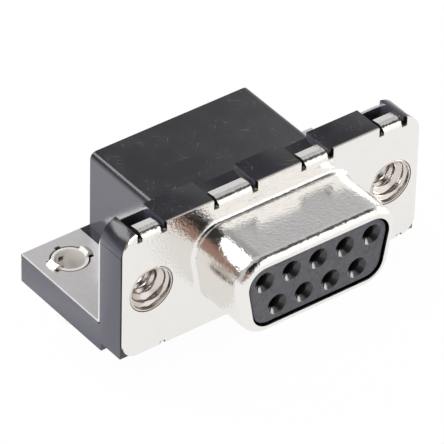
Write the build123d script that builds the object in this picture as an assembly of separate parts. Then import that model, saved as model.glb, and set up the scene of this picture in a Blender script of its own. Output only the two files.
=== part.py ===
"""Nine-way right-angle socket connector for a circuit board, with threaded inserts and board locks.

The origin is the centre of the D collar on the front face of the steel flange.
X runs along the flange, Y runs back over the board, Z points away from the board.
"""

import os
from math import cos, radians, tan

from build123d import *

# Steel front shell
sheet = 0.3
flange_height = 12.55
flange_top_corner = 1.9
flange_foot_corner = 1.5
collar_height = 7.9
collar_depth = 6.3
collar_corner = 2.6
side_angle = 10.0
lip_roll = 0.9
lip_edge = 0.88
lip_thickness = 0.12
collar_foot = 0.45

# Folded tabs along the flange's top edge
outer_tab = 1.95
left_tab_place = -3.96
left_tab = 3.5
right_tab_place = 4.48
right_tab = 2.35
tab_bend = 0.8
tab_lean = 8.0
tab_drop = 0.2
tab_reach = 1.6
notch_width = 0.5
notch_depth = 0.8
foot_nick = 0.25

# Contacts and their places
pitch = 2.77
row_gap = 2.84
top_row = 5
bottom_row = 4
socket_bore = 0.51
barrel_radius = 0.8
barrel_back = 2.2
bore_depth = 5.0
tine_slot = 0.16
tine_length = 3.0
leg_width = 0.6
leg_thickness = 0.5
leg_bend = 0.9
tail_radius = 0.3
tail_length = 3.1
near_tails = 10.05

# Steps outward from the outermost contact to the end of the flange
collar_margin = 2.625
tower_margin = 2.78
strap_gap = 1.08
strap_reach = 3.095
end_reach = 2.85

# Front insulator
nose_inset = 1.05
nose_setback = 0.17
sink_radius = 1.0
lead_radius = 0.53
sink_depth = 0.47
lead_length = 0.91
rim_reach = 0.9
rim_thickness = 1.1
nose_edge = 0.1

# Moulded housing
plate_end_reach = 0.055
plate_top_gap = 0.055
plate_foot_reach = 0.025
plate_corner = 2.1
plate_back = 3.2
standoff = 0.8
foot_height = 2.65
foot_step = 0.25
foot_corner = 0.3
tower_rise = 1.83
rear_margin = 1.75
tower_round = 0.65
tower_corner = 0.2
wall = 1.0
pocket_margin = 0.4
snug_margin = 0.08
pocket_web = 0.5

# Tail aligner
aligner_thickness = 1.0
aligner_setback = 0.2
tail_hole = 0.9

# Ground straps
strap_thickness = 0.25
strap_side_gap = 0.05
strap_top_gap = 0.65
strap_end_gap = 0.25
strap_bend = 0.35
strap_corner = 2.1
strap_hole_gap = 0.15
strap_slot_width = 1.7
strap_slot_reach = 1.9
strap_notch = 0.5

# Threaded inserts
thread_bore = 1.14
insert_mouth = 2.0
insert_nose = 2.15
insert_nose_setback = 0.02
insert_body = 2.45
insert_neck = 1.95
insert_flare = 2.55
insert_flare_thickness = 0.4

# Board locks
lock_radius = 1.6
lock_wall = 0.25
lock_length = 3.35
lock_taper = 0.5
lock_neck = 1.3
lock_barb = 1.45
lock_tip = 1.0
lock_slot = 0.6
lock_slot_drop = 1.7
lock_window = 0.5
lock_window_top = 0.65
lock_window_foot = 1.1
lock_tab_reach = 2.1
lock_tab_width = 1.1
lock_tab_rise = 0.35
lock_tab_edge = 0.1

# Clearances between pieces that fit into one another
fit = 0.05
press = 0.02
beyond = 1.0

# Places that follow from the sizes above
lean = tan(radians(side_angle))
outer_contact = (top_row - 1) / 2 * pitch
row_height = row_gap / 2
collar_width = 2 * (outer_contact + collar_margin)
tower_half = outer_contact + tower_margin
strap_inner = tower_half + strap_gap
insert_place = strap_inner + strap_reach
flange_width = 2 * (insert_place + end_reach)
body_width = flange_width + 2 * plate_end_reach
fold = flange_height / 2 - tab_drop - tab_bend
tab_line = tab_bend - sheet / 2
tab_corner = fold + tab_line * tan(radians(90 + tab_lean) / 2)
tab_end = tab_corner - (tab_reach - sheet / 2) * tan(radians(tab_lean))
web_top = tab_end - sheet / 2 / cos(radians(tab_lean)) - press
tabs = [
    (-insert_place, outer_tab, pocket_margin),
    (left_tab_place, left_tab, pocket_margin),
    (right_tab_place, right_tab, snug_margin),
    (insert_place, outer_tab, snug_margin),
]
far_tails = near_tails + row_gap
body_back = far_tails + rear_margin
plate_top = flange_height / 2 - plate_top_gap
plate_foot = -flange_height / 2 - plate_foot_reach
seat_level = plate_foot - standoff
foot_top = seat_level + foot_height
foot_front = plate_back - foot_step
tower_top = row_height + tower_rise
pocket_floor = insert_body + pocket_web
nose_front = -collar_depth + nose_setback
barrel_front = nose_front + sink_depth + lead_length
rim_back = sheet + rim_thickness
insert_end = plate_back + strap_thickness + insert_flare_thickness
strap_top = plate_top - strap_top_gap
strap_level = foot_top + strap_thickness
lock_place = (near_tails + far_tails) / 2
lock_hole = lock_radius + fit
lock_end = seat_level - lock_length
tail_end = seat_level - tail_length


def along_y(sketch, front, back):
    """Carries a sketch drawn in X and Z from one Y to another."""
    return extrude(Plane.XZ.offset(-back) * sketch, back - front)


def along_z(sketch, low, high):
    """Carries a sketch drawn in X and Y from one Z to another."""
    return extrude(Plane.XY.offset(low) * sketch, high - low)


def block(left, right, front, back, low, high):
    """A plain block between six planes."""
    size = (right - left, back - front, high - low)
    return Pos(left, front, low) * Box(*size, align=(Align.MIN, Align.MIN, Align.MIN))


def bent_strip(points, thickness, bend, left, right):
    """A strip of even thickness bent along a line drawn in Y and Z, between two X planes."""
    line = FilletPolyline(*points, radius=bend)
    return extrude(Plane.YZ.offset(left) * trace(line, thickness), right - left)


def turned(points, x, z=0):
    """A round piece about an axis along Y, from an outline of radius and Y."""
    return Pos(x, 0, z) * revolve(make_face(Polyline(*points, close=True)), Axis.Y)


def collar_face(inset):
    """The D outline, wide side up, pulled in from the collar's outside by an even inset.

    The collar's width is measured over its rounded corners, so the sharp outline reaches further out.
    """
    high = collar_height / 2 - inset
    slant = 1 / cos(radians(side_angle))
    sharp = collar_width / 2 + collar_corner * (slant - 1 + lean)
    middle = sharp - collar_height / 2 * lean - inset * slant
    wide = middle + high * lean
    narrow = middle - high * lean
    outline = make_face(Polyline((-wide, high), (wide, high), (narrow, -high), (-narrow, -high), close=True))
    return fillet(outline.vertices(), collar_corner - inset)


def edges_on(part, y, half_width, half_height):
    """The edges that lie on a plane of one Y, with their middles within a width and a height."""
    return part.edges().filter_by(
        lambda e: abs(e.bounding_box().min.Y - y) < press / 2
        and abs(e.bounding_box().max.Y - y) < press / 2
        and abs(e.center().X) < half_width
        and abs(e.center().Z) < half_height
    )


def notch(x, depth):
    """A relief notch from the flange's edge down to a depth, with a round end."""
    low = flange_height / 2 - depth + notch_width / 2
    high = flange_height / 2 + beyond
    slot = Pos(x, (low + high) / 2) * Rectangle(notch_width, high - low)
    return along_y(slot + Pos(x, low) * Circle(notch_width / 2), -beyond, beyond)


def tab_opening(centre, width):
    """What is cut from the flange for one tab: the tab's own width and a notch at each side."""
    high = flange_height / 2 + beyond
    middle = Pos(centre, (fold + high) / 2) * Rectangle(width, high - fold)
    reach = (width + notch_width) / 2
    sides = notch(centre - reach, notch_depth) + notch(centre + reach, notch_depth)
    return along_y(middle, -beyond, beyond) + sides


def tab_strip(centre, width):
    """One tab, bent from the flange back over the housing, a little past square."""
    line = [(sheet / 2, fold - sheet), (sheet / 2, tab_corner), (tab_reach, tab_end)]
    return bent_strip(line, sheet, tab_line, centre - width / 2, centre + width / 2)


def flange_face():
    """The flange's outline, with rounder corners at the top than at the foot."""
    face = Rectangle(flange_width, flange_height)
    face = fillet(face.vertices().group_by(Axis.Y)[-1], flange_top_corner)
    return fillet(face.vertices().group_by(Axis.Y)[0], flange_foot_corner)


def drawn_collar():
    """The flange with the D collar drawn out of it, before its tabs are cut and folded."""
    plate = along_y(flange_face(), 0, sheet)
    outside = along_y(collar_face(0), -collar_depth, sheet)
    shell = plate + fillet(edges_on(outside, -collar_depth, flange_width, flange_height), lip_roll)
    near = (insert_place, flange_height / 2 - tab_bend)
    shell = fillet(edges_on(shell, 0, *near), collar_foot)
    hollow_front = -collar_depth + lip_thickness
    hollow = along_y(collar_face(sheet), hollow_front, sheet)
    shell -= chamfer(edges_on(hollow, hollow_front, *near), lip_roll - sheet)
    shell -= along_y(collar_face(lip_edge), -collar_depth - beyond, 0)
    return chamfer(edges_on(shell, sheet, *near), collar_foot)


def front_shell():
    """The plated steel front: flange, drawn collar, folded tabs, foot nicks and insert holes."""
    shell = drawn_collar()
    for centre, width, margin in tabs:
        shell = shell - tab_opening(centre, width) + tab_strip(centre, width)
    for side in (-1, 1):
        centre = side * insert_place
        shell -= along_y(Pos(centre, 0) * Circle(insert_nose + fit), -beyond, beyond)
        shell -= mirror(notch(centre + (outer_tab + notch_width) / 2, foot_nick), Plane.XY)
    return shell


def contact_places():
    """The X and Z of every contact, top row first, with the Y of its tail."""
    places = []
    for count, z, tail in ((top_row, row_height, far_tails), (bottom_row, -row_height, near_tails)):
        for k in range(count):
            places.append(((k - (count - 1) / 2) * pitch, z, tail))
    return places


def contact_hole(x, z):
    """The countersunk hole of one contact, with a step that the contact's mouth stops against."""
    outline = [
        (0, nose_front - beyond),
        (sink_radius, nose_front - beyond),
        (sink_radius, nose_front),
        (lead_radius, nose_front + sink_depth),
        (lead_radius, barrel_front),
        (barrel_radius + fit, barrel_front),
        (barrel_radius + fit, plate_back + beyond),
        (0, plate_back + beyond),
    ]
    return turned(outline, x, z)


def front_insulator():
    """The moulded nose that holds the contacts, with a rim behind the flange."""
    body = along_y(collar_face(nose_inset), nose_front, plate_back - fit)
    body = chamfer(edges_on(body, nose_front, flange_width, flange_height), nose_edge)
    body += along_y(collar_face(-rim_reach), sheet, rim_back)
    for x, z, tail in contact_places():
        body -= contact_hole(x, z)
    return body


def contact(x, z, tail):
    """One socket contact: split barrel, bent leg and round solder tail."""
    outline = [
        (0, barrel_front + bore_depth),
        (socket_bore, barrel_front + bore_depth),
        (socket_bore, barrel_front),
        (barrel_radius, barrel_front),
        (barrel_radius, barrel_back),
        (0, barrel_back),
    ]
    barrel = turned(outline, x, z)
    slot = Pos(x, z) * Rectangle(2 * (barrel_radius + fit), tine_slot)
    barrel -= along_y(slot, barrel_front - beyond, barrel_front + tine_length)
    line = [(barrel_back - leg_thickness, z), (tail, z), (tail, seat_level)]
    leg = bent_strip(line, leg_thickness, leg_bend, x - leg_width / 2, x + leg_width / 2)
    pin = along_z(Pos(x, tail) * Circle(tail_radius), tail_end, seat_level)
    return barrel + leg + pin


def housing_plate():
    """The upright plate behind the flange, with pockets that the flange's tabs fold into."""
    plate = block(-body_width / 2, body_width / 2, sheet, plate_back, plate_foot, plate_top)
    plate = fillet(plate.edges().filter_by(Axis.Y).group_by(Axis.Z)[-1], plate_corner)
    for centre, width, margin in tabs:
        left = centre - width / 2 - pocket_margin
        right = centre + width / 2 + margin
        plate -= block(left, right, 0, plate_back + beyond, web_top, plate_top + beyond)
    fronts = plate.edges().filter_by(Axis.X).filter_by(
        lambda e: abs(e.center().Y - sheet) < press / 2 and abs(e.center().Z - web_top) < press / 2
    )
    plate = fillet(fronts, tab_bend - sheet)
    for centre, width, margin in (tabs[0], tabs[-1]):
        left = centre - width / 2 - pocket_margin
        right = centre + width / 2 + margin
        plate -= block(left, right, tab_reach, plate_back + beyond, pocket_floor, plate_top + beyond)
    return plate


def housing_tower():
    """The rear box over the contact legs."""
    tower = block(-tower_half, tower_half, plate_back, body_back, seat_level, tower_top)
    tower = fillet(tower.edges().filter_by(Axis.Y).group_by(Axis.Z)[-1], tower_round)
    rear = tower.faces().sort_by(Axis.Y)[-1].edges()
    return chamfer(rear.filter_by(lambda e: e.center().Z > seat_level + press), tower_corner)


def housing_base():
    """The two feet, as one slab under the rear box."""
    base = block(-body_width / 2, body_width / 2, foot_front, body_back, seat_level, foot_top)
    return fillet(base.edges().filter_by(Axis.Z).group_by(Axis.Y)[-1], foot_corner)


def housing():
    """The black moulding: upright plate, feet and the hollow rear box."""
    body = housing_plate() + housing_base() + housing_tower()
    hollow = tower_half - wall
    body -= block(-hollow, hollow, plate_back, body_back - wall, seat_level - beyond, tower_top - wall)
    body -= along_y(collar_face(nose_inset - fit), sheet, plate_back)
    body -= along_y(collar_face(-rim_reach - fit), sheet, rim_back)
    for side in (-1, 1):
        body -= along_y(Pos(side * insert_place, 0) * Circle(insert_body + press), 0, plate_back + beyond)
        lock = Pos(side * insert_place, lock_place) * Circle(lock_hole)
        body -= along_z(lock, seat_level - beyond, foot_top + beyond)
    return body


def tail_aligner():
    """The plate that closes the rear box from below and spaces the solder tails."""
    low = seat_level + aligner_setback
    high = low + aligner_thickness
    reach = tower_half - wall - fit
    plate = block(-reach, reach, plate_back + fit, body_back - wall - fit, low, high)
    for x, z, tail in contact_places():
        hole = Pos(x, tail) * Rectangle(tail_hole, tail_hole)
        plate -= along_z(hole, low - beyond, high + beyond)
    return plate


def lock_opening():
    """The hole in a strap for a board lock: round, with a slot at each tab and a notch at the rear."""
    hole_radius = lock_radius + strap_hole_gap
    opening = Circle(hole_radius) + Rectangle(2 * strap_slot_reach, strap_slot_width)
    return opening + Pos(0, hole_radius) * Rectangle(strap_notch, strap_notch)


def ground_strap(side):
    """An L of plated sheet: over one foot and up the back of the housing's plate."""
    outer = side * (body_width / 2 - strap_side_gap)
    inner = side * strap_inner
    middle = plate_back + strap_thickness / 2
    level = foot_top + strap_thickness / 2
    line = [(middle, strap_top), (middle, level), (body_back - strap_end_gap, level)]
    strap = bent_strip(line, strap_thickness, strap_bend, min(outer, inner), max(outer, inner))
    corner = strap.edges().filter_by(Axis.Y).filter_by(
        lambda e: abs(e.center().X - outer) < press / 2 and abs(e.center().Z - strap_top) < press / 2
    )
    strap = fillet(corner, strap_corner)
    strap -= along_y(Pos(side * insert_place, 0) * Circle(insert_neck + press), 0, plate_back + beyond)
    opening = Pos(side * insert_place, lock_place) * lock_opening()
    return strap - along_z(opening, foot_top - beyond, foot_top + beyond)


def threaded_insert(side):
    """A threaded eyelet: its shoulder sits behind the flange and its flare clamps the strap."""
    outline = [
        (insert_mouth, insert_nose_setback),
        (insert_nose, insert_nose_setback),
        (insert_nose, sheet + press),
        (insert_body, sheet + press),
        (insert_body, plate_back),
        (insert_neck, plate_back),
        (insert_neck, plate_back + strap_thickness),
        (insert_flare, plate_back + strap_thickness),
        (insert_flare, insert_end),
        (thread_bore, insert_end),
        (thread_bore, insert_nose_setback + insert_mouth - thread_bore),
    ]
    return turned(outline, side * insert_place)


def board_lock(side):
    """A split tube that snaps into the board, with two tabs turned out over the strap."""
    inner = lock_radius - lock_wall
    brim = strap_level + press
    barb_level = seat_level - lock_length / 2
    outline = [
        (lock_tab_reach, brim + lock_tab_edge),
        (lock_tab_reach, brim),
        (lock_radius, brim),
        (lock_radius, seat_level + lock_taper),
        (lock_neck, barb_level),
        (lock_barb, barb_level - lock_wall),
        (lock_tip, lock_end),
        (lock_tip - lock_wall, lock_end),
        (inner, seat_level + lock_taper),
        (inner, brim),
        (lock_radius, brim + lock_tab_rise),
    ]
    lock = revolve(Plane.XZ * make_face(Polyline(*outline, close=True)), Axis.Z)
    through = 2 * (lock_radius + fit)
    lock -= along_z(Rectangle(lock_slot, through), lock_end - beyond, brim - lock_slot_drop)
    lock -= along_z(Rectangle(lock_window, through), brim - lock_window_foot, brim - lock_window_top)
    brim_width = 2 * (lock_tab_reach + beyond)
    for way in (-1, 1):
        clear = Pos(0, way * (lock_tab_width + brim_width) / 2) * Rectangle(brim_width, brim_width)
        lock -= along_z(clear, strap_level, strap_level + beyond)
    return Pos(side * insert_place, lock_place, 0) * lock


def save(part, name):
    """Writes one piece to its own file."""
    export_step(part, os.path.join("parts", name + ".step"))


def main():
    os.makedirs("parts", exist_ok=True)
    save(front_shell(), "front_shell")
    save(front_insulator(), "front_insulator")
    save(housing(), "housing")
    save(tail_aligner(), "tail_aligner")
    for side, word in ((-1, "left"), (1, "right")):
        save(ground_strap(side), "ground_strap_" + word)
        save(threaded_insert(side), "threaded_insert_" + word)
        save(board_lock(side), "board_lock_" + word)
    for number, place in enumerate(contact_places(), start=1):
        save(contact(*place), "contact_" + str(number))


main()
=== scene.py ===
"""Finishes, threads and moulded edges of the nine-way right-angle socket connector.

Lengths are in metres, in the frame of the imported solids: the origin is the centre of the
D collar on the flange's front face, X runs along the flange, Y back over the board, Z up.
"""

import math

import bmesh
import bpy
from mathutils import Matrix, Vector


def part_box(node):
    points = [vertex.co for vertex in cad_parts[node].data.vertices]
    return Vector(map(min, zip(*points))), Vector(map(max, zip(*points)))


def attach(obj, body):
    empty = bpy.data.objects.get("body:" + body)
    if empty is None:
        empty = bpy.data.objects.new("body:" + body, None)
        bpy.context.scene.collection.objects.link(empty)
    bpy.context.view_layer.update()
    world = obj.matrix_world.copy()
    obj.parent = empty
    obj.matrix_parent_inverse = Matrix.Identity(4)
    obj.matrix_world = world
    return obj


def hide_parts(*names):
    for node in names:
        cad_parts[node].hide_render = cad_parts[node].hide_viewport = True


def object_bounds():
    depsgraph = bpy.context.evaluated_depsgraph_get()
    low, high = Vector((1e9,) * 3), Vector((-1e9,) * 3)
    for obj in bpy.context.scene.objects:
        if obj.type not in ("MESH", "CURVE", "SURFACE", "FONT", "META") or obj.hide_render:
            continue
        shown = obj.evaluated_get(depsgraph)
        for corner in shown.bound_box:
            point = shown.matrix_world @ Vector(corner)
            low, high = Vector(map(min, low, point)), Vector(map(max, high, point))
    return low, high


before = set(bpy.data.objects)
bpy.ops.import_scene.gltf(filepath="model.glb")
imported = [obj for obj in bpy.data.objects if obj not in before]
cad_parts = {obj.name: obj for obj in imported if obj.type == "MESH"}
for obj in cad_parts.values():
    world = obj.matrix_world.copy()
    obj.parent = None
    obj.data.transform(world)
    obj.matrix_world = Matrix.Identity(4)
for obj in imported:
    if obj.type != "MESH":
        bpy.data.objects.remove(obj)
cad_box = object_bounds()

MM = 0.001
BODY = "root"
contact_count = 9

# Camera that meets the photograph: angles in degrees, distances in metres
view_turn = 37.811
view_height = 37.692
view_roll = 1.523
view_distance = 405.33 * MM
view_aim = (-5.368 * MM, 0.0, 3.760 * MM)
focal_pixels = 4937.6
photo_pixels = 444
sensor_width = 36.0
near_clip = 0.01
far_clip = 10.0

# Threaded inserts: sizes that the solids leave out
thread_pitch = 0.635 * MM
thread_major = 1.42 * MM
thread_minor = 1.14 * MM
mouth_radius = 2.0 * MM
mouth_setback = 0.02 * MM
nose_radius = 2.15 * MM
shoulder_radius = 2.45 * MM
neck_radius = 1.95 * MM
flare_radius = 2.55 * MM
shoulder_front = 0.32 * MM
plate_back = 3.2 * MM
strap_back = 3.45 * MM
insert_end = 3.85 * MM
first_crest = 0.45 * MM
crest_radius = 1.78 * MM
flare_slope = 0.75
groove_rise = (0.14, 0.86)
turned_edge = 0.05 * MM
turned_fullness = 0.4
turned_crease = 50.0
turn_steps = 96
row_steps = 120

# What glossy faces mirror of the tent: direction, inner and outer angle in degrees, colour
tent_patches = (
    ((1.0, -0.1, 0.1), 20, 60, (0.84, 0.84, 0.84)),
    ((0.485, 0.625, 0.611), 8, 24, (0.52, 0.52, 0.54)),
    ((0.485, 0.82, 0.32), 9, 18, (0.78, 0.78, 0.78)),
    ((0.26, 0.625, 0.736), 5, 15, (0.36, 0.36, 0.37)),
    ((0.485, -0.27, 0.835), 10, 21, (0.08, 0.08, 0.08)),
    ((-0.24, -0.65, 0.73), 27, 37, (0.015, 0.015, 0.015)),
    ((-0.73, -0.625, 0.28), 14, 23, (0.38, 0.23, 0.18)),
    ((-0.76, 0.60, 0.20), 8, 22, (0.25, 0.25, 0.26)),
    ((0.485, -0.68, 0.55), 13, 18, (1.8, 1.8, 1.8)),
    ((0.485, -0.80, 0.20), 20, 40, (1.2, 1.2, 1.2)),
)
tent_grey = (0.60, 0.60, 0.61)
plain_grey = (0.55, 0.55, 0.56)
white = (1.0, 1.0, 1.0)

# Lamps: name, place, size, power, mirrored by glossy faces, spread over matt ones
lamps = (
    ("rim", (-0.165, 0.281, 0.310), 0.20, 0.63, False, True),
    ("rim band", (-0.160, 0.273, 0.301), 0.25, 1.1, True, False),
    ("right", (0.385, -0.100, 0.055), 0.26, 1.8, True, False),
    ("right fill", (0.376, -0.117, 0.073), 0.20, 0.9, False, True),
    ("left", (-0.36, -0.12, 0.12), 0.30, 1.4, False, True),
    ("top", (0.0, 0.05, 0.45), 0.30, 0.15, False, True),
)

# Floor: half its side, its matt white, and the shares of pure white seen and mirrored
floor_half = 1.5
floor_matt = (0.95, 0.95, 0.95)
floor_seen = 0.97
floor_mirrored = 0.9

# Colours of each finish, in pairs where a slow noise drifts between two
tin_tints = ((0.85, 0.828, 0.797), (0.835, 0.82, 0.795))
# Dull cut steel, darkened further as painted shade on the flange's rear edge and in the notches
cut_steel_and_shade = (0.12, 0.095, 0.075)
strap_tints = ((0.87, 0.84, 0.835), (0.81, 0.785, 0.78))
lock_tints = ((0.95, 0.92, 0.885), (0.89, 0.865, 0.84))
nickel_tints = ((0.74, 0.69, 0.645), (0.63, 0.585, 0.54))
gold_tints = ((0.86, 0.66, 0.33), (0.78, 0.58, 0.29))
housing_blacks = ((0.004, 0.004, 0.008), (0.014, 0.014, 0.018))
# Painted light: a paler grey for the housing's faces towards ±X, standing in for the light they
# catch
side_light_grey = (0.060, 0.059, 0.077)
scuff_grey = (0.17, 0.17, 0.17)
# Painted shade: the dark of the small step along the plate's mould line
mould_line_shade_black = (0.005, 0.005, 0.006)
insulator_greys = ((0.040, 0.037, 0.045), (0.074, 0.071, 0.082))
# Painted shade: the darker colour inside the insulator's holes
hole_shade_black = (0.012, 0.012, 0.013)

# Scuffs of the housing: turn of the strokes in radians, and the squeeze that draws them out
scuff_strokes = ((0.5, 0.12), (-0.9, 0.22), (1.4, 0.3))

# Relief notches of the shell, whose cut walls stay dull and are painted dark as shade
notch_places = (-13.72, -11.27, -5.96, -1.96, 3.055, 5.905, 11.27, 13.72)
nick_places = (-11.27, 13.72)
notch_half = 0.25 * MM
slot_spare = 0.005 * MM
notch_floor = 5.3 * MM
nick_roof = 6.0 * MM

# Sheared edge of the flange: the dull half of its thickness, outside a rounded oblong, painted dark
# as the shade of the gap behind it
sheared_across = 13.445 * MM
sheared_height = 4.375 * MM
sheared_radius = 1.86 * MM
sheared_depth = 0.17 * MM

# Mould line of the plate, where the rounds of its corners begin, drawn as a fine line of painted
# shade
mould_line = 4.15 * MM
mould_half = 0.035 * MM
mould_reach = 15.3 * MM

# Distance over which the edge of a painted mask fades
crisp = 0.02 * MM

# Mouldings: the insulator's face and holes, rounds of the edges, angles in degrees
nose_front = -6.13 * MM
hole_reach = (6.65 * MM, 2.5 * MM)
housing_edge = 0.13 * MM
insulator_edge = 0.05 * MM
edge_steps = 3
edge_angle = 32.0
flat_angle = 0.5
# How sharply the painted side light fades as a face turns away from ±X
side_light_falloff = 8
weld_distance = 0.002 * MM


class Wire:
    """An output socket, with Python's operators as Math nodes."""

    def __init__(self, graph, port):
        self.graph = graph
        self.port = port

    def math(self, operation, *others):
        return self.graph.math(operation, self, *others)

    def __add__(self, other):
        return self.math("ADD", other)

    def __radd__(self, other):
        return self.math("ADD", other)

    def __sub__(self, other):
        return self.math("SUBTRACT", other)

    def __rsub__(self, other):
        return self.graph.math("SUBTRACT", other, self)

    def __mul__(self, other):
        return self.math("MULTIPLY", other)

    def __rmul__(self, other):
        return self.math("MULTIPLY", other)

    def __truediv__(self, other):
        return self.math("DIVIDE", other)


class Graph:
    """A node tree, with one method that adds any node."""

    def __init__(self, tree):
        self.tree = tree
        tree.nodes.clear()

    def port(self, ports, key):
        """A socket by its identifier, or by its name among those in use."""
        for port in ports:
            if port.identifier == key:
                return port
        for port in ports:
            if port.name == key and port.enabled:
                return port
        raise KeyError(key)

    def add(self, kind, settings=None, values=None):
        """A node of one type: its settings first, then the values or links of its sockets."""
        node = self.tree.nodes.new(kind)
        for name, value in (settings or {}).items():
            setattr(node, name, value)
        for name, value in (values or {}).items():
            port = self.port(node.inputs, name)
            if isinstance(value, Wire):
                self.tree.links.new(value.port, port)
            elif port.type == "RGBA" and len(value) == 3:
                port.default_value = (*value, 1.0)
            else:
                port.default_value = value
        return node

    def out(self, node, key):
        """One output of a node, ready for arithmetic."""
        return Wire(self, self.port(node.outputs, key))

    def math(self, operation, *terms):
        """A Math node on up to three values or links."""
        names = ("Value", "Value_001", "Value_002")
        node = self.add("ShaderNodeMath", {"operation": operation}, dict(zip(names, terms)))
        return self.out(node, "Value")

    def step(self, value, low, high):
        """0 below one value, 1 above another, smooth between them."""
        node = self.add(
            "ShaderNodeMapRange",
            {"interpolation_type": "SMOOTHSTEP"},
            {"Value": value, "From Min": low, "From Max": high},
        )
        return self.out(node, "Result")

    def mix(self, share, first, second):
        """A colour between two colours."""
        node = self.add(
            "ShaderNodeMix",
            {"data_type": "RGBA"},
            {"Factor_Float": share, "A_Color": first, "B_Color": second},
        )
        return self.out(node, "Result_Color")

    def noise(self, place, size, detail=2.0, roughness=0.5):
        """Noise whose features are about one size across."""
        node = self.add(
            "ShaderNodeTexNoise",
            None,
            {"Vector": place, "Scale": 1.0 / size, "Detail": detail, "Roughness": roughness},
        )
        return self.out(node, "Fac")

    def axes(self, place):
        """The three coordinates of a place."""
        node = self.add("ShaderNodeSeparateXYZ", None, {"Vector": place})
        return [self.out(node, axis) for axis in "XYZ"]

    def stretched(self, place, scale, turn=(0.0, 0.0, 0.0)):
        """The place, scaled along each axis and then turned."""
        values = {"Vector": place, "Rotation": turn, "Scale": scale}
        return self.out(self.add("ShaderNodeMapping", None, values), "Vector")

    def bump(self, height, depth, strength=1.0, under=None):
        """A normal from a height between 0 and 1 and the depth that 1 stands for."""
        values = {"Height": height, "Distance": depth, "Strength": strength}
        if under:
            values["Normal"] = under
        return self.out(self.add("ShaderNodeBump", None, values), "Normal")


def new_material(name):
    """A material, its emptied tree and its Object coordinates."""
    material = bpy.data.materials.new(name)
    material.use_nodes = True
    graph = Graph(material.node_tree)
    place = graph.out(graph.add("ShaderNodeTexCoord"), "Object")
    return material, graph, place


def surface(graph, values):
    """The Principled shader with its values, linked to the output."""
    shader = graph.add("ShaderNodeBsdfPrincipled", None, values)
    graph.add("ShaderNodeOutputMaterial", None, {"Surface": graph.out(shader, "BSDF")})


def within_slots(graph, across, places):
    """1 across the width of the slots at these places, 0 elsewhere."""
    wall = notch_half + slot_spare
    share = 0.0
    for centre in places:
        reach = (across - centre * MM).math("ABSOLUTE")
        share = 1.0 - graph.step(reach, wall, wall + crisp) + share
    return share


def cut_walls(graph, place):
    """1 on the walls that the press cut: notches, nicks and the rear half of the flange's edge,
    which are dull and also painted dark as shade.
    """
    across, depth, height = graph.axes(place)
    high = graph.step(height, notch_floor, notch_floor + 0.1 * MM)
    low = graph.step(0.0 - height, nick_roof, nick_roof + crisp)
    notches = within_slots(graph, across, notch_places) * high
    nicks = within_slots(graph, across, nick_places) * low
    beyond = (across.math("ABSOLUTE") - sheared_across).math("MAXIMUM", 0.0)
    above = (height.math("ABSOLUTE") - sheared_height).math("MAXIMUM", 0.0)
    radius = (beyond * beyond + above * above).math("SQRT")
    rear = graph.step(depth, sheared_depth - crisp, sheared_depth + crisp)
    edge = rear * graph.step(radius, sheared_radius, sheared_radius + crisp)
    return notches.math("MAXIMUM", nicks).math("MAXIMUM", edge)


def bright_plating():
    """Bright tin over drawn steel: a soft mirror, with fine orange peel and slow waves, and cut
    walls that are dull and painted dark as shade.
    """
    material, graph, place = new_material("bright_plating")
    waves = graph.noise(place, 2.2 * MM, 1.0)
    peel = graph.noise(place, 0.24 * MM, 2.0)
    haze = graph.noise(place, 1.1 * MM, 3.0)
    tint = graph.mix(graph.step(haze, 0.35, 0.7), *tin_tints)
    # Cut walls: dull steel, darkened further as painted shade
    cut_and_shade = cut_walls(graph, place)
    normal = graph.bump(waves, 0.010 * MM, 0.5)
    normal = graph.bump(peel, 0.040 * MM, 0.8, normal)
    surface(
        graph,
        {
            "Base Color": graph.mix(cut_and_shade, tint, cut_steel_and_shade),
            "Metallic": 1.0,
            "Roughness": 0.10 + 0.07 * haze + 0.3 * cut_and_shade,
            "Normal": normal,
        },
    )
    return material


def satin_plating(name, tints, roughness, metallic=1.0):
    """Satin tin over rolled sheet: fine grain along the roll and faint blotches."""
    material, graph, place = new_material(name)
    grain = graph.noise(graph.stretched(place, (1.0, 0.12, 1.0)), 0.09 * MM, 3.0)
    blotch = graph.noise(place, 0.9 * MM, 3.0)
    tint = graph.mix(graph.step(blotch, 0.3, 0.75), *tints)
    normal = graph.bump(grain, 0.004 * MM, 0.7)
    surface(
        graph,
        {
            "Base Color": tint,
            "Metallic": metallic,
            "Roughness": roughness + 0.12 * blotch,
            "Normal": normal,
        },
    )
    return material


def nickel_plating():
    """Nickel over turned steel, with fine rings left by the tool."""
    material, graph, place = new_material("nickel_plating")
    rings = graph.noise(graph.stretched(place, (0.05, 1.0, 0.05)), 0.06 * MM, 2.0)
    haze = graph.noise(place, 0.7 * MM, 2.0)
    surface(
        graph,
        {
            "Base Color": graph.mix(haze, *nickel_tints),
            "Metallic": 1.0,
            "Roughness": 0.16 + 0.1 * haze,
            "Normal": graph.bump(rings, 0.003 * MM, 0.5),
        },
    )
    return material


def gold_plating():
    """Thin gold on the contacts."""
    material, graph, place = new_material("gold_plating")
    haze = graph.noise(place, 0.5 * MM, 2.0)
    surface(
        graph,
        {
            "Base Color": graph.mix(haze, *gold_tints),
            "Metallic": 1.0,
            "Roughness": 0.2 + 0.12 * haze,
            "Normal": graph.bump(haze, 0.003 * MM, 0.5),
        },
    )
    return material


def scuffs(graph, place):
    """Sparse short strokes in three directions, where a slow noise lets them show."""
    region = graph.noise(place, 2.6 * MM, 1.0)
    strokes = 0.0
    for turn, squeeze in scuff_strokes:
        turned = graph.stretched(place, (1.0, 1.0, 1.0), (0.0, 0.0, turn))
        stroke = graph.noise(graph.stretched(turned, (squeeze, 1.0, 1.0)), 0.22 * MM, 2.0, 0.6)
        strokes = graph.step(stroke, 0.62, 0.78) + strokes
    return (strokes * graph.step(region, 0.42, 0.60)).math("MINIMUM", 1.0)


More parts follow.
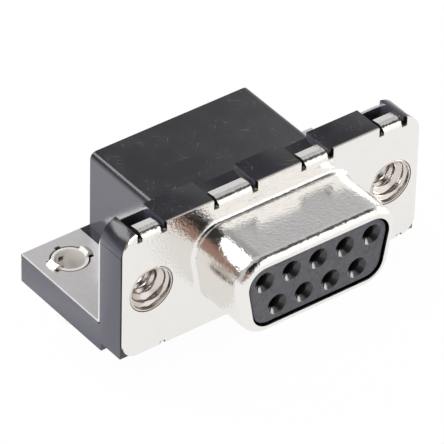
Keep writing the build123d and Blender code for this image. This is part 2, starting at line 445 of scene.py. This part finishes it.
def mould_lines(graph, place):
    """1 on the fine line of painted shade across each end of the plate, 0 elsewhere."""
    across, _, height = graph.axes(place)
    off = (height - mould_line).math("ABSOLUTE")
    end = graph.step(across.math("ABSOLUTE"), mould_reach, mould_reach + crisp)
    return (1.0 - graph.step(off, mould_half, 2.0 * mould_half)) * end


def housing_plastic():
    """Black moulded plastic: faces towards ±X painted paler as painted light, fine grain, and sparse
    pale scuffs on its other faces.
    """
    material, graph, place = new_material("housing_plastic")
    cloud = graph.noise(place, 2.6 * MM, 3.0)
    grain = graph.noise(place, 0.12 * MM, 3.0, 0.6)
    # Painted light: faces towards ±X are painted paler
    side_light = graph.out(graph.add("ShaderNodeAttribute", {"attribute_name": "side_light"}), "Fac")
    scuff = scuffs(graph, place) * (1.0 - side_light)
    tone = graph.mix(graph.step(cloud, 0.3, 0.7), *housing_blacks)
    tone = graph.mix(side_light, tone, side_light_grey)
    tone = graph.mix(scuff * 0.35, tone, scuff_grey)
    # Painted shade along the mould line
    tone = graph.mix(mould_lines(graph, place), tone, mould_line_shade_black)
    surface(
        graph,
        {
            "Base Color": tone,
            "Roughness": 0.15 + 0.05 * cloud + 0.15 * scuff,
            "IOR": 1.5,
            "Normal": graph.bump(grain, 0.006 * MM, 0.7),
        },
    )
    return material


def insulator_plastic():
    """Dark grey moulded plastic: a matt front face and smoother holes behind it, coloured darker as
    painted shade.
    """
    material, graph, place = new_material("insulator_plastic")
    across, depth, height = graph.axes(place)
    # Painted shade: the holes' walls behind the front face are coloured darker, and are also
    # smoother
    smooth_shaded_holes = graph.step(depth, nose_front + 0.02 * MM, nose_front + 0.06 * MM)
    for value, reach in zip((across, height), hole_reach):
        smooth_shaded_holes = smooth_shaded_holes - graph.step(value.math("ABSOLUTE"), reach, reach + 0.1 * MM)
    smooth_shaded_holes = smooth_shaded_holes.math("MAXIMUM", 0.0)
    cloud = graph.noise(place, 0.30 * MM, 3.0, 0.6)
    grain = graph.noise(place, 0.11 * MM, 3.0, 0.6)
    face = graph.mix(graph.step(cloud, 0.3, 0.7), *insulator_greys)
    surface(
        graph,
        {
            "Base Color": graph.mix(smooth_shaded_holes, face, hole_shade_black),
            "Roughness": 0.42 + 0.10 * cloud - 0.30 * smooth_shaded_holes,
            "IOR": 1.55,
            "Normal": graph.bump(grain, 0.005 * MM, 0.7),
        },
    )
    return material


def finish_node(name, material):
    """Gives a carried-over solid its own finish."""
    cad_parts[name].data.materials.clear()
    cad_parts[name].data.materials.append(material)


def add_piece(name, mesh, material):
    """An object at the origin from a finished mesh."""
    mesh.name = name
    mesh.materials.clear()
    mesh.materials.append(material)
    piece = bpy.data.objects.new(name, mesh)
    bpy.context.scene.collection.objects.link(piece)
    return piece


def applied(piece):
    """The piece's mesh with its modifiers carried out, and the modifiers removed."""
    bpy.context.view_layer.update()
    graph = bpy.context.evaluated_depsgraph_get()
    mesh = bpy.data.meshes.new_from_object(piece.evaluated_get(graph))
    piece.modifiers.clear()
    return mesh


def edged_copy(node, name, width, material):
    """A copy of a moulded solid with its sharp edges rounded and its faces towards ±X marked for
    painted side light.
    """
    source = bmesh.new()
    source.from_mesh(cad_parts[node].data)
    bmesh.ops.remove_doubles(source, verts=source.verts, dist=weld_distance)
    bmesh.ops.dissolve_limit(
        source, angle_limit=math.radians(flat_angle), verts=source.verts, edges=source.edges
    )
    mesh = bpy.data.meshes.new(name)
    source.to_mesh(mesh)
    source.free()
    piece = add_piece(name, mesh, material)
    bevel = piece.modifiers.new("edges", "BEVEL")
    bevel.width = width
    bevel.segments = edge_steps
    bevel.limit_method = "ANGLE"
    bevel.angle_limit = math.radians(edge_angle)
    bevel.harden_normals = True
    piece.data.shade_smooth()
    piece.data = applied(piece)
    piece.data.materials.clear()
    piece.data.materials.append(material)
    # Painted light: a share for faces towards ±X, which the material paints paler
    side_light = piece.data.attributes.new("side_light", "FLOAT", "FACE")
    for face, value in zip(piece.data.polygons, side_light.data):
        value.value = face.normal.x ** side_light_falloff
    return piece


def thread_tree(material):
    """A threaded bore about Y: a grid rolled into a tube whose radius follows a helix."""
    tree = bpy.data.node_groups.new("threaded_bore", "GeometryNodeTree")
    sizes = (
        ("Pitch", thread_pitch),
        ("Major Radius", thread_major),
        ("Minor Radius", thread_minor),
        ("Mouth Radius", mouth_radius),
        ("Front", mouth_setback),
        ("Back", insert_end),
    )
    for name, value in sizes:
        port = tree.interface.new_socket(name, in_out="INPUT", socket_type="NodeSocketFloat")
        port.default_value = value
    for name, value in (("Turn Steps", turn_steps), ("Row Steps", row_steps)):
        port = tree.interface.new_socket(name, in_out="INPUT", socket_type="NodeSocketInt")
        port.default_value = value
    tree.interface.new_socket("Geometry", in_out="OUTPUT", socket_type="NodeSocketGeometry")
    graph = Graph(tree)
    given = graph.add("NodeGroupInput")
    pitch, major, minor, mouth, front, back, turns, rows = (
        Wire(graph, port) for port in list(given.outputs)[:8]
    )
    grid = graph.add(
        "GeometryNodeMeshGrid",
        None,
        {"Size X": 1.0, "Size Y": 1.0, "Vertices X": turns + 1, "Vertices Y": rows + 1},
    )
    across, along, _ = graph.axes(graph.out(graph.add("GeometryNodeInputPosition"), "Position"))
    turn = (across + 0.5) * math.tau
    depth = front + (along + 0.5) * (back - front)
    phase = ((depth - first_crest) / pitch + turn / math.tau).math("FRACT")
    ridge = 1.0 - (2.0 * phase - 1.0).math("ABSOLUTE")
    rise = {"Value": ridge, "From Min": groove_rise[0], "From Max": groove_rise[1]}
    groove = graph.out(graph.add("ShaderNodeMapRange", None, rise), "Result")
    height = major - minor
    flare = (crest_radius - flare_slope * (depth - first_crest)).math("MAXIMUM", minor)
    thread = (flare + height * groove).math("MINIMUM", mouth)
    radius = thread.math("MAXIMUM", major - (back - depth))
    point = graph.add(
        "ShaderNodeCombineXYZ",
        None,
        {"X": radius * turn.math("COSINE"), "Y": depth, "Z": radius * turn.math("SINE")},
    )
    rolled = graph.add(
        "GeometryNodeSetPosition",
        None,
        {"Geometry": graph.out(grid, "Mesh"), "Position": graph.out(point, "Vector")},
    )
    welded = graph.add(
        "GeometryNodeMergeByDistance",
        None,
        {"Geometry": graph.out(rolled, "Geometry"), "Distance": weld_distance},
    )
    real = graph.add(
        "GeometryNodeRealizeInstances",
        None,
        {"Geometry": graph.out(welded, "Geometry")},
    )
    dressed = graph.add(
        "GeometryNodeSetMaterial",
        None,
        {"Geometry": graph.out(real, "Geometry"), "Material": material},
    )
    graph.add("NodeGroupOutput", None, {"Geometry": graph.out(dressed, "Geometry")})
    return tree


def turned_rings(mesh, outline, steps):
    """Adds an open turned surface about Y to a mesh, from points of radius and Y."""
    rings = []
    for radius, y in outline:
        ring = []
        for k in range(steps):
            turn = math.tau * k / steps
            ring.append(mesh.verts.new((radius * math.cos(turn), y, radius * math.sin(turn))))
        rings.append(ring)
    for near, far in zip(rings, rings[1:]):
        for k in range(steps):
            after = (k + 1) % steps
            mesh.faces.new((near[k], near[after], far[after], far[k]))


def rounded_outline(outline, radius):
    """The same outline with each inner corner cut twice, so that it reads as a small round."""
    result = [outline[0]]
    for before, corner, after in zip(outline, outline[1:], outline[2:]):
        corner = Vector(corner)
        for other in (before, after):
            way = (Vector(other) - corner).normalized()
            result.append(tuple(corner + way * radius))
        middle = (Vector(result[-1]) + Vector(result[-2])) / 2
        result.insert(-1, tuple(middle + (corner - middle) * turned_fullness))
    result.append(outline[-1])
    return result


def threaded_bore(tree):
    """The mesh of one threaded bore about the Y axis."""
    carrier = bpy.data.objects.new("bore", bpy.data.meshes.new("bore"))
    bpy.context.scene.collection.objects.link(carrier)
    modifier = carrier.modifiers.new("thread", "NODES")
    modifier.node_group = tree
    identifiers = {item.name: item.identifier for item in tree.interface.items_tree}
    modifier[identifiers["Pitch"]] = thread_pitch
    bore = applied(carrier)
    bpy.data.objects.remove(carrier)
    return bore


def threaded_insert(node, material, tree):
    """The eyelet with a real thread, in the place of its plain solid."""
    outline = [
        (mouth_radius, mouth_setback),
        (nose_radius, mouth_setback),
        (nose_radius, shoulder_front),
        (shoulder_radius, shoulder_front),
        (shoulder_radius, plate_back),
        (neck_radius, plate_back),
        (neck_radius, strap_back),
        (flare_radius, strap_back),
        (flare_radius, insert_end),
        (thread_major, insert_end),
    ]
    shape = bmesh.new()
    shape.from_mesh(threaded_bore(tree))
    turned_rings(shape, rounded_outline(outline, turned_edge), turn_steps)
    bmesh.ops.remove_doubles(shape, verts=shape.verts, dist=weld_distance)
    bmesh.ops.recalc_face_normals(shape, faces=shape.faces)
    low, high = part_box(node)
    shape.transform(Matrix.Translation(((low.x + high.x) / 2, 0.0, (low.z + high.z) / 2)))
    mesh = bpy.data.meshes.new("threaded_eyelet")
    shape.to_mesh(mesh)
    shape.free()
    mesh.shade_smooth()
    mesh.set_sharp_from_angle(angle=math.radians(turned_crease))
    piece = add_piece(node.replace("insert", "eyelet"), mesh, material)
    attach(piece, BODY)
    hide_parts(node)


def stage_floor(level):
    """A pale floor: white to the camera and to reflections, with the part's shadow kept."""
    material, graph, _ = new_material("pale_floor")
    matt = graph.add("ShaderNodeBsdfDiffuse", None, {"Color": floor_matt})
    glow = graph.add("ShaderNodeEmission", None, {"Color": white, "Strength": 1.0})
    path = graph.add("ShaderNodeLightPath")
    glossy = graph.out(path, "Is Glossy Ray")
    mirrored = glossy.math("MAXIMUM", graph.out(path, "Is Transmission Ray"))
    share = graph.out(path, "Is Camera Ray") * floor_seen + mirrored * floor_mirrored
    both = graph.add(
        "ShaderNodeMixShader",
        None,
        {"Fac": share, "Shader": graph.out(matt, "BSDF"), "Shader_001": graph.out(glow, "Emission")},
    )
    graph.add("ShaderNodeOutputMaterial", None, {"Surface": graph.out(both, "Shader")})
    shape = bmesh.new()
    bmesh.ops.create_grid(shape, x_segments=1, y_segments=1, size=floor_half)
    shape.transform(Matrix.Translation((0.0, 0.0, level)))
    mesh = bpy.data.meshes.new("floor")
    shape.to_mesh(mesh)
    shape.free()
    add_piece("floor", mesh, material)


def tent_patch(graph, way, direction, inner, outer):
    """1 within one angle of a direction, 0 beyond another."""
    aim = tuple(Vector(direction).normalized())
    values = {"Vector": way, "Vector_001": aim}
    dot = graph.add("ShaderNodeVectorMath", {"operation": "DOT_PRODUCT"}, values)
    low, high = (math.cos(math.radians(angle)) for angle in (outer, inner))
    return graph.step(graph.out(dot, "Value"), low, high)


def studio_world():
    """White to the camera, a soft tent with darker stretches to reflections, plain to the rest."""
    world = bpy.data.worlds.new("studio")
    bpy.context.scene.world = world
    world.use_nodes = True
    graph = Graph(world.node_tree)
    path = graph.add("ShaderNodeLightPath")
    way = graph.out(graph.add("ShaderNodeTexCoord"), "Generated")
    tent = tent_grey
    for direction, inner, outer, colour in tent_patches:
        tent = graph.mix(tent_patch(graph, way, direction, inner, outer), tent, colour)
    tent = graph.mix(graph.out(path, "Is Glossy Ray"), plain_grey, tent)
    camera = graph.out(path, "Is Camera Ray")
    seen = camera.math("MAXIMUM", graph.out(path, "Is Transmission Ray"))
    tent = graph.mix(seen, tent, white)
    light = graph.add("ShaderNodeBackground", None, {"Color": tent, "Strength": 1.0})
    graph.add("ShaderNodeOutputWorld", None, {"Surface": graph.out(light, "Background")})


def soft_lamp(name, place, size, power, mirrored, spread):
    """A square lamp aimed at the part, seen by glossy faces or by matt ones."""
    light = bpy.data.lights.new(name, "AREA")
    light.shape = "SQUARE"
    light.size = size
    light.energy = power
    lamp = bpy.data.objects.new(name, light)
    lamp.location = place
    lamp.rotation_euler = (-Vector(place)).to_track_quat("-Z", "Y").to_euler()
    lamp.visible_glossy = mirrored
    lamp.visible_diffuse = spread
    bpy.context.scene.collection.objects.link(lamp)


def photo_camera():
    """The camera at the photograph's place, roll and focal length."""
    turn = math.radians(view_turn)
    height = math.radians(view_height)
    back = Vector(
        (-math.sin(turn) * math.cos(height), -math.cos(turn) * math.cos(height), math.sin(height))
    )
    level = Vector((math.cos(turn), -math.sin(turn), 0.0))
    upright = back.cross(level)
    roll = math.radians(view_roll)
    right = level * math.cos(roll) + upright * math.sin(roll)
    up = upright * math.cos(roll) - level * math.sin(roll)
    camera = bpy.data.objects.new("camera", bpy.data.cameras.new("camera"))
    camera.data.sensor_width = sensor_width
    camera.data.lens = focal_pixels * sensor_width / photo_pixels
    camera.data.clip_start = near_clip
    camera.data.clip_end = far_clip
    place = Matrix((right, up, back)).transposed().to_4x4()
    place.translation = Vector(view_aim) + back * view_distance
    camera.matrix_world = place
    bpy.context.scene.collection.objects.link(camera)
    bpy.context.scene.camera = camera


photo_camera()
studio_world()
for lamp in lamps:
    soft_lamp(*lamp)
stage_floor(cad_box[0][2])

shell_finish = bright_plating()
strap_finish = satin_plating("strap_plating", strap_tints, roughness=0.26)
lock_finish = satin_plating("lock_plating", lock_tints, roughness=0.38, metallic=0.6)
insert_finish = nickel_plating()
contact_finish = gold_plating()
housing_finish = housing_plastic()
insulator_finish = insulator_plastic()

finish_node("front_shell", shell_finish)
finish_node("tail_aligner", housing_finish)
for side in ("left", "right"):
    finish_node("ground_strap_" + side, strap_finish)
    finish_node("board_lock_" + side, lock_finish)
for number in range(1, contact_count + 1):
    finish_node("contact_" + str(number), contact_finish)

bore_tree = thread_tree(insert_finish)
for side in ("left", "right"):
    threaded_insert("threaded_insert_" + side, insert_finish, bore_tree)

for node, name, width, finish, slot in (
    ("housing", "moulded_housing", housing_edge, housing_finish, "housing_plastic"),
    ("front_insulator", "moulded_insulator", insulator_edge, insulator_finish, "insulator_plastic"),
):
    moulding = edged_copy(node, name, width, finish)
    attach(moulding, BODY)
    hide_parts(node)

bpy.context.scene.view_settings.view_transform = "Standard"
